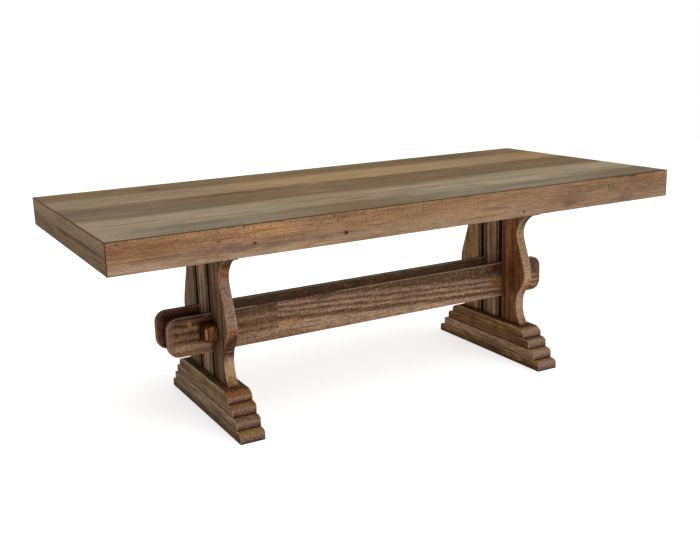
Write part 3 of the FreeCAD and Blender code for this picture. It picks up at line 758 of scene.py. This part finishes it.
def post_finish(name, seed):
    side = name.split("_")[2]
    tones = tone_set(trestle_sides[side], *post_cards[name])
    deep, _, pale, _ = tones
    wood = Wood(name + "_wood", Z, seed)
    wood.stained(tones, gain=2.6)
    wood.spots(post_spots.get(name, []))
    vein = wood.banded(0.6, 0.015, 7, 3.0, 0.6)
    strength = 0.25 if name in ("front_post_right", "centre_post_right") else 0.65
    wood.lay(wood.rise(vein, 0.47, 0.38) * strength, deep)
    wood.lay(wood.rise(vein, 0.53, 0.62) * strength, pale)
    fine_vein = wood.banded(0.26, 0.0065, 8, 3.0, 0.6)
    wood.lay(wood.rise(fine_vein, 0.5, 0.4) * 0.45, deep)
    wood.lay(wood.rise(fine_vein, 0.54, 0.64) * 0.4, pale)

    from_middle = abs(wood.y)
    sideways = wood.rise(abs(wood.facing_x), 0.8, 0.45)
    outside = wood.rise(from_middle, slot_outer + edge_start, slot_outer + edge_full)
    height = (wood.z - post_low) / (post_high - post_low)
    height = height + aside(wood.mottle, 0.14) + aside(wood.streak, 0.14)
    edge_colour = wood.ramp(height, edge_tones[side])
    scratch = wood.banded(0.0036, 0.045, 6, 2.0)
    scratched = wood.rise(height, 0.38, 0.47, 0.15, 1.0) if side == "left" else 1.0
    edge_colour = wood.blend(wood.rise(scratch, 0.5, 0.64) * scratched * 0.62, edge_colour, rose_brown)
    edge_colour = wood.blend(wood.rise(scratch, 0.44, 0.34) * 0.45, edge_colour, rubbed_and_highlight)
    edge_colour = wood.blend(wood.rise(wood.mottle, 0.56, 0.7) * 0.18, edge_colour, deep_amber)
    if side == "right":
        inner_half = wood.rise(wood.x - centre(name, X), 0.004, -0.006)
        edge_colour = wood.blend(inner_half * wood.rise(wood.mottle, 0.3, 0.5) * 0.35, edge_colour, rubbed_and_highlight)
    wood.lay(sideways * outside, edge_colour)
    # A pale arris, partly wear and partly a painted highlight; on the left it is left out at the waist,
    # which lies in shade.
    arris = wood.between(abs(wood.facing_x), 0.2, 0.9, 0.1)
    if side == "left":
        arris = arris * (1 - wood.between(height, 0.22, 0.38, 0.04))
    wood.lay(arris * outside * wood.rise(wood.mottle, 0.3, 0.5) * 0.75, rubbed_and_highlight)

    # The grooves are painted dark as shade, and the beads beside them paler, partly as wear and partly as a
    # painted highlight.
    grooves = wood.near_any(from_middle, beside_slot(1, 2), groove_reach)
    beads = wood.near_any(from_middle, beside_slot(0.5, 1.5), groove_reach)
    wood.lay(beads * wood.rise(wood.mottle, 0.3, 0.55) * 0.75, rose_brown)
    wood.lay(grooves * 0.9, glaze)
    # The walls of the slot are painted nearly black as shade.
    wood.lay((1 - outside) * wood.rise(abs(wood.facing_y), 0.35, 0.7) * 0.97, slot_shade)
    # Painted shade where the post meets the foot and under the apron.
    low_corner = wood.rise(wood.z, post_low + foot_corner, post_low)
    high_corner = wood.rise(wood.z, apron_low - head_corner, apron_low)
    wood.lay(wood.larger(low_corner, high_corner) * 0.75, warm_glaze)
    return wood.done(fibres=0.34, grits=0.34, depth=0.0014)


post_finishes = {name: post_finish(name, 11.0 + order) for order, name in enumerate(post_cards)}
print(list(post_finishes))

# %% [markdown]
# ## The feet
# A foot is a stack of four layers. Each layer has its own piece of wood and so its own tone, a
# nose worn to pinkish grey with open pores and darker at its foot as painted shade, a painted
# highlight in ochre, amber or brown on the shoulder above it, a pale upper arris along its sides
# that is partly wear and partly a painted highlight, and painted shade in the corners where it
# meets the layers above and below.

# %% The finish of the feet
foot_cards = {
    "left": [[(56, 43, 30), (84, 68, 50), (112, 95, 74), (98, 78, 54)],
             [(66, 52, 41), (98, 81, 66), (126, 108, 91), (92, 73, 53)],
             [(60, 44, 30), (92, 73, 55), (116, 98, 80), (98, 68, 46)],
             [(62, 48, 32), (94, 77, 56), (124, 107, 84), (104, 84, 52)]],
    "right": [[(40, 25, 13), (70, 50, 31), (112, 90, 58), (112, 76, 32)],
              [(72, 55, 42), (106, 86, 68), (132, 112, 92), (98, 74, 50)],
              [(44, 27, 15), (70, 47, 28), (98, 74, 48), (86, 58, 28)],
              [(54, 37, 20), (84, 62, 38), (112, 90, 60), (96, 70, 34)]]}
nose_side = (1.38, 0.004)
cap_nose_side = (1.05, 0.004)
nose_cards = {"left": [(56, 34, 24), (98, 68, 54), (126, 101, 87), (146, 122, 104)],
              "right": [(52, 38, 33), (98, 77, 67), (130, 106, 92), (152, 127, 110)]}
shoulder_tones = {"left": [ochre, rose_brown, amber, amber],
                  "right": [ochre, ochre, rose_brown, olive_ochre]}
shoulder_starts = {"left": 0.62, "right": 0.82}
nose_reach = 0.03
pore_cells = (130.0, 200.0, 200.0)
pale_arris = paint(204, 184, 152, low_front_side)


def foot_finish(name, side, number, seed):
    wood = Wood(name + "_wood", Y, seed)
    tones = tone_set(trestle_sides[side], *foot_cards[side][number - 1])
    wood.stained(tones, gain=3.0)
    wood.lines(wood.streak, 0.24)
    low, high = span(name, Z)
    height = (wood.z - low) / (high - low)
    ragged_height = height + aside(wood.mottle, 0.4)
    wood.lay(wood.rise(ragged_height, 0.62, 0.9) * 0.25, tones[2])
    if number == 1:
        wood.lay(wood.rise(ragged_height, 0.7, 0.35) * 0.55, tones[0])
    to_nose = extent(name, Y) / 2 - abs(wood.y)
    nose = wood.rise(to_nose, nose_reach, nose_reach * 0.4) * wood.rise(abs(wood.facing_x), 0.8, 0.5)
    nose_tones = tone_set(cap_nose_side if number == 4 else nose_side, *nose_cards[side])
    # The nose is darker at its foot, as painted shade where it meets the layer below.
    upright = wood.ramp(ragged_height, list(zip((0.0, 0.25, 0.56, 0.78), nose_tones)))
    wood.lay(nose * 0.92, upright)
    pores = wood.noise(wood.scaled(wood.place, pore_cells), 3.0, 0.6)
    wood.lay(nose * wood.rise(pores, 0.5, 0.62) * 0.4, nose_tones[1])
    wood.lay(nose * wood.rise(pores, 0.46, 0.36) * 0.4, nose_tones[3])
    # A painted highlight on the upward-facing shoulder of the nose, in ochre, amber or brown.
    start = shoulder_starts[side]
    shoulder = wood.rise(wood.facing_z, start, start + 0.15)
    shoulder = shoulder * wood.rise(to_nose, nose_reach * 1.6, nose_reach * 0.8)
    shoulder_highlight = shoulder * wood.rise(wood.mottle, 0.25, 0.5) * 0.9
    wood.lay(shoulder_highlight, shoulder_tones[side][number - 1])
    # Painted shade in the corner where the tread meets the layer above.
    corner = wood.rise(wood.facing_z, 0.85, 0.99) * wood.rise(to_nose, nose_reach * 0.85, nose_reach * 1.15)
    wood.lay(corner * 0.55, shade_brown)
    # A pale upper arris, where it faces up, partly wear and partly a painted highlight.
    arris = wood.between(abs(wood.facing_x), 0.3, 0.92, 0.1) * wood.rise(wood.facing_z, -0.2, 0.3)
    wood.lay(arris * wood.rise(wood.mottle, 0.25, 0.45) * 0.7, pale_arris)
    # Painted shade along the bottom of each layer, where it sits on the one below.
    wood.lay(wood.rise(height + aside(wood.mottle, 0.1), 0.24, 0.0) * 0.9, glaze)
    return wood.done(fibres=0.34, grits=0.32, depth=0.0012)


foot_finishes = {}
for side in ("left", "right"):
    for number in range(1, 5):
        name = "foot_layer_%d_%s" % (number, side)
        foot_finishes[name] = foot_finish(name, side, number, 21.0 + len(foot_finishes))
print(len(foot_finishes), "foot layers")

# %% [markdown]
# ## The stretcher boards
# The boards were brushed so roughly that the hard grain stands up in soft ridges, pale on their
# crests and dark between them, with open speckled grain all over. On the front board two
# lengths meet at a butt joint. Beyond it the rows run at a slope and the tone changes, and round
# it the pale arris line stops. The rear board's left end is stained rust, but not on its back,
# and its front face there is darker away from the end and the top edge as painted shade. Both
# boards get painted shade beside the posts and round the pegs, and a pale arris line that is
# partly wear and partly a painted highlight. The ridges could be modelled, but they are under a
# millimetre high, so a ramp over the height of the board gives their tones and a bump their relief.

# %% The finish of the stretcher boards
butt_joint = -0.383
joint_blur = 0.0015
dull_arris = (-0.5, -0.44, -0.22, -0.08)
ridge_pitch = 0.0275
tooth_pitch = 0.015
row_slope = 0.39
row_share = 0.74
paddle_blur = 0.02
halo_reach = 0.013
post_shade = 0.014
rim_start = 0.03
rim_full = 0.012
shaded_side = (0.8, 0.004)
board_cards = [(84, 67, 54), (76, 53, 39), (106, 78, 58), (150, 122, 105), (138, 110, 86),
               (162, 135, 112), (156, 108, 70), (90, 66, 49)]
board_tones = {"front": tone_set(low_front_side, *board_cards),
               "rear": tone_set(shaded_side, *board_cards)}
paddle_stain_and_shade, paddle_dark, paddle_ochre, paddle_rust = tone_set(
    low_front_side, (50, 27, 14), (58, 40, 27), (112, 84, 54), (84, 52, 30))
rim_tone, bright_arris = tone_set(low_front_side, (112, 86, 76), (172, 150, 120))
post_places = [centre("centre_post_" + side, X) for side in ("left", "right")]
post_thick = extent("centre_post_left", X)
peg_places = [(centre(name, X), centre(name, Z)) for name in ("peg_left", "peg_right")]
peg_width = extent("peg_left", X)
peg_height = extent("peg_left", Z)


def on_board(x, z, reach_x, reach_z, strength, tone):
    return ((x, -slot_outer, z), (reach_x, 0.05, reach_z), strength, tone)


def board_finish(side, seed):
    wood = Wood("stretcher_%s_wood" % side, X, seed, sway=0.016)
    grey, dark, brown, rose, tan, pale, orange, row = board_tones[side]
    height = (wood.z - board_low) / (board_high - board_low)
    height = height + aside(wood.drift, 0.1) + aside(wood.mottle, 0.08)
    short_tones = [(0.0, brown), (0.12, tan), (0.26, pale), (0.35, brown), (0.42, tan), (0.5, brown),
                   (0.6, brown), (0.68, tan), (0.75, brown), (0.84, grey)]
    long_tones = [(0.0, brown), (0.09, tan), (0.2, pale), (0.31, pale), (0.375, row), (0.41, brown),
                  (0.45, pale), (0.515, row), (0.575, pale), (0.63, row), (0.68, rose), (0.75, grey)]
    wood.colour = wood.ramp(height, short_tones)
    if side == "front":
        beyond = wood.rise(wood.x, butt_joint - joint_blur, butt_joint + joint_blur)
        sloped = (height + (wood.x - butt_joint) * row_slope) * row_share
        wood.lay(beyond, wood.ramp(sloped, long_tones))
    paddle = wood.rise(wood.x, peg_middle[X] + paddle_blur, peg_middle[X] - paddle_blur)
    tooth = wood.to_line(wood.x + aside(wood.mottle, 0.04), tooth_pitch)
    crest = wood.to_line(wood.z + aside(wood.mottle, 0.02) + tooth * 0.6, ridge_pitch)
    valley = wood.rise(crest, ridge_pitch * 0.3, ridge_pitch * 0.1)
    wood.lay(valley * wood.rise(wood.drift, 0.25, 0.5) * 0.15, dark)
    wood.lay(wood.rise(wood.streak, 0.5, 0.66) * 0.45, dark)
    wood.lay(wood.rise(wood.mottle, 0.55, 0.72) * 0.35, orange)
    if side == "front":
        wood.spots([on_board(-0.335, 0.303, 0.075, 0.018, 0.65, orange),
                    on_board(-0.365, 0.34, 0.03, 0.006, 0.6, orange),
                    on_board(-0.52, 0.322, 0.035, 0.012, 0.7, dark),
                    on_board(-0.2, 0.37, 0.07, 0.016, 0.7, grey),
                    on_board(0.48, 0.358, 0.14, 0.014, 0.7, dark)])

    pits = wood.banded(0.0095, 0.0055, 6, 2.0, 0.6)
    rough = 0.5 if side == "front" else 0.22
    wood.lay(wood.rise(pits, 0.5, 0.62) * rough, dark)
    wood.lay(wood.rise(pits, 0.45, 0.35) * rough * 0.8, pale)
    if side == "front":
        wood.lay(paddle * wood.rise(crest, ridge_pitch * 0.2, ridge_pitch * 0.42) * 0.7, paddle_ochre)
        above = wood.rise(wood.z, board_low + 0.03, board_low + 0.045)
        wood.lay(paddle * valley * above * 0.75, paddle_dark)
        topmost = wood.rise(height + aside(wood.streak, 0.2), 0.82, 0.92)
        wood.lay(paddle * topmost * 0.6, paddle_stain_and_shade)
        wood.spots([on_board(-0.714, 0.358, 0.014, 0.02, 0.8, orange)])
    else:
        # The rear paddle's front face is rust, and darker away from its end and top edge as painted shade.
        inwards = wood.rise(wood.x - board_start + aside(wood.mottle, 0.03), 0.006, 0.034)
        downwards = wood.rise(height, 0.95, 0.8)
        inner_face = wood.rise(wood.facing_y, 0.6, 0.1)
        wood.lay(paddle * inner_face * 0.75, paddle_rust)
        wood.lay(paddle * inner_face * inwards * downwards * 0.9, paddle_stain_and_shade)
    # Painted shade on the board beside each centre post.
    for post_place in post_places:
        to_post = abs(wood.x - post_place) - post_thick / 2
        wood.lay(wood.rise(to_post + aside(wood.mottle, 0.02), post_shade, 0.0) * 0.75, warm_glaze)
    # Two spots by the right centre post, amber below and dark above, are painted shade where the board
    # meets it.
    if side == "front":
        wood.spots([on_board(0.59, 0.308, 0.045, 0.03, 0.85, amber),
                    on_board(0.59, 0.362, 0.06, 0.026, 0.85, warm_glaze)])

    # Painted shade round each peg hole.
    halos = []
    for peg_x, peg_z in peg_places:
        beside = wood.larger(abs(wood.x - peg_x) - peg_width / 2, abs(wood.z - peg_z) - peg_height / 2)
        halos.append(wood.rise(beside + aside(wood.mottle, 0.01), halo_reach, 0.0))
    wood.lay(wood.strongest(halos) * 0.85, warm_glaze)
    from_end = wood.smaller(wood.x - board_start, board_end - wood.x)
    rim = 0.8 if side == "front" else 0.15
    wood.lay(wood.rise(from_end + aside(wood.mottle, 0.02), rim_start, rim_full) * rim, rim_tone)
    # A pale arris line, partly wear and partly a painted highlight.
    arris = wood.between(abs(wood.facing_y), 0.3, 0.92, 0.08)
    if side == "front":
        left_end, left_full, right_full, right_end = dull_arris
        left_part = wood.rise(wood.x, left_full, left_end)
        arris = arris * wood.larger(wood.rise(wood.x, right_full, right_end), left_part)
    arris = arris * wood.rise(wood.drift, 0.25, 0.45)
    wood.lay(arris * wood.rise(paddle, 0.0, 1.0, 0.8, 0.45), bright_arris)
    return wood.done(fibres=0.3, grits=0.3, depth=0.0022)


board_finishes = {"stretcher_" + side: board_finish(side, 31.0 + order)
                  for order, side in enumerate(("front", "rear"))}
print("pegs at", [[round(v, 3) for v in place] for place in peg_places])

# %% [markdown]
# ## Pegs, bolsters and inner pieces
# A peg is orange brown, with painted shade inside its holes, towards its rim and on its sides,
# and bright on the arris of its end, partly where the mallet hits and partly as a painted
# highlight. The bolsters are stained like the posts but out of sight. The dowels, blocks and
# battens are plain wood, because nobody stains what nobody sees.

# %% The finish of pegs, bolsters and inner pieces
peg_pale = paint(168, 124, 76, low_front_side)
ray_cells = (240.0, 20.0, 30.0)
shaft_start = 0.034
shaft_full = 0.052
peg_tones = tone_set(low_front_side, (54, 32, 18), (90, 60, 36), (140, 104, 68), (114, 70, 36))
bolster_tones = tone_set(low_end_side, (50, 36, 26), (78, 58, 42), (104, 82, 62), (88, 60, 36))
inner_tones = tone_set(plain_side, (120, 92, 62), (166, 136, 98), (196, 168, 128), (176, 136, 88))


def peg_finish(name, seed):
    wood = Wood(name + "_wood", Y, seed)
    wood.stained(peg_tones, gain=3.0)
    to_end = extent(name, Y) / 2 - abs(wood.y)
    across = abs(wood.x - centre(name, X)) / (peg_width / 2)
    upwards = abs(wood.z - centre(name, Z)) / (peg_height / 2)
    # The peg darkens towards its rim as painted shade.
    to_rim = wood.larger(across, upwards) + aside(wood.mottle, 0.4)
    wood.lay(wood.rise(to_rim, 0.45, 0.88) * 0.9, shade_brown)
    rays = wood.noise(wood.scaled(wood.place, ray_cells))
    wood.lay(wood.rise(abs(wood.facing_y), 0.8, 0.95) * wood.rise(rays, 0.5, 0.62) * 0.55, peg_pale)
    # Painted shade on the sides of the peg.
    wood.lay(wood.rise(abs(wood.facing_x), 0.6, 0.95) * 0.4, shade_brown)
    # A bright arris round the end, partly wear from the mallet and partly a painted highlight.
    end_arris = wood.between(abs(wood.facing_y), 0.5, 0.86, 0.06) * wood.rise(abs(wood.facing_x), 0.2, 0.35)
    wood.lay(end_arris * wood.rise(upwards, 0.75, 0.45) * 0.75, peg_pale)
    # Painted shade on the shaft inside the holes and between the boards.
    wood.lay(wood.rise(to_end, shaft_start, shaft_full) * 0.62, glaze)
    return wood.done(fibres=0.35, grits=0.35, depth=0.0012)


def plain_wood(name, run, seed, tones):
    wood = Wood(name, run, seed)
    wood.stained(tones)
    return wood.done(fibres=0.25, grits=0.2, depth=0.0008)


special = {"peg_left": peg_finish("peg_left", 41.0), "peg_right": peg_finish("peg_right", 42.0)}
for order, side in enumerate(("left", "right")):
    special["bolster_" + side] = plain_wood("bolster_%s_wood" % side, Y, 43.0 + order, bolster_tones)
inner_wood = plain_wood("inner_wood", Y, 47.0, inner_tones)
print("special", list(special))

# %% [markdown]
# ## Metal
# The screws, bolts and washers are zinc plated steel and the inserts are brass. Bare metal with
# one roughness looks like plastic film, so a fine cloud varies both its tone and its roughness.

# %% The finish of the metal fastenings
cloud_cells = (220.0, 220.0, 220.0)


def metal_finish(name, *cards):
    finish = Finish(name, shine=0.5)
    finish.surface.inputs["Metallic"].default_value = 1.0
    cloud = finish.noise(finish.scaled(finish.place, cloud_cells))
    dark, bright = tone_set(plain_side, *cards)
    colour = finish.ramp(cloud, [(0.3, dark), (0.7, bright)])
    return finish.wear(colour, 0.32 + aside(cloud, 0.3), cloud, 0.0001)


steel = metal_finish("zinc_steel", (150, 152, 154), (196, 197, 196))
brass = metal_finish("turned_brass", (166, 128, 62), (208, 172, 98))
print("metals", steel.name, brass.name)

# %% [markdown]
# ## Each piece gets its finish
# The finishes go into the material slots that the pieces already have. What isn't named is
# plain inner wood: the battens and blocks under the top, and the dowels.

# %% Give out the finishes
finishes = {**apron_finishes, **post_finishes, **foot_finishes, **board_finishes, **special}
for number in range(1, 6):
    finishes["top_plank_%d" % number] = top_planks
for name in ("batten_screws", "bolster_bolts", "bolster_washers", "foot_bolts"):
    finishes[name] = steel
finishes["threaded_inserts"] = brass
for name, piece in pieces.items():
    for slot in piece.material_slots:
        slot.material = finishes.get(name, inner_wood)
print(len(finishes), "of", len(pieces), "pieces have a finish of their own")
